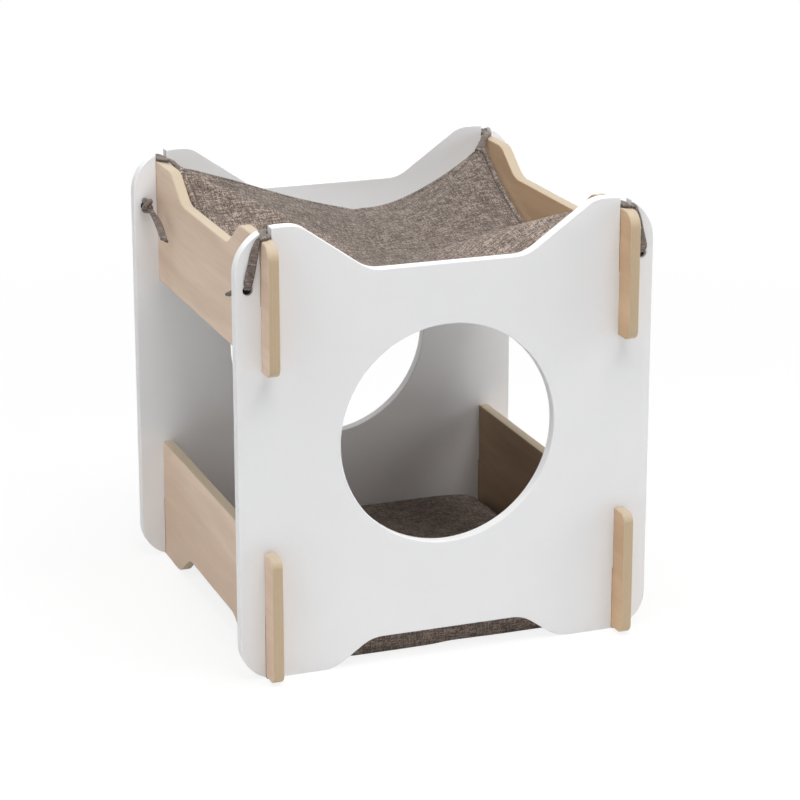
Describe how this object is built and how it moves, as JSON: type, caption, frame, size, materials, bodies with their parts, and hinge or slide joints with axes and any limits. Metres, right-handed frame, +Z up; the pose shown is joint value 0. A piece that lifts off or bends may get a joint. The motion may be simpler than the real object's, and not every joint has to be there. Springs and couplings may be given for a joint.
{
  "type": "cat condo",
  "caption": "Slot-together cube house for a cat: pierced panels with ear-shaped tops, wooden side rails, a tied-on hammock and a loose floor cushion.",
  "frame": {"origin": "centre of the footprint, on the floor", "axes": "+Z up, +X to the right and +Y to the rear of the front panel"},
  "size_m": [0.428, 0.42, 0.45],
  "materials": {
    "white_board": "white satin lacquer on board",
    "oak_board": "pale matt wood with lighter edges",
    "woven_cloth": "taupe melange weave",
    "wadding": "white polyester wadding"
  },
  "bodies": {
    "house": {"front_panel": "white_board", "rear_panel": "white_board", "upper_left_rail": "oak_board", "upper_right_rail": "oak_board", "lower_left_rail": "oak_board", "lower_right_rail": "oak_board", "hammock_cloth": "woven_cloth", "front_left_strap": "woven_cloth", "front_right_strap": "woven_cloth", "rear_left_strap": "woven_cloth", "rear_right_strap": "woven_cloth"},
    "cushion": {"cushion_cover": "woven_cloth", "cushion_filling": "wadding"}
  },
  "joints": [
    {"name": "cushion_lift", "type": "slide", "parent": "house", "child": "cushion", "axis": [0, 0, 1], "range_m": [0, 0.25]}
  ]
}
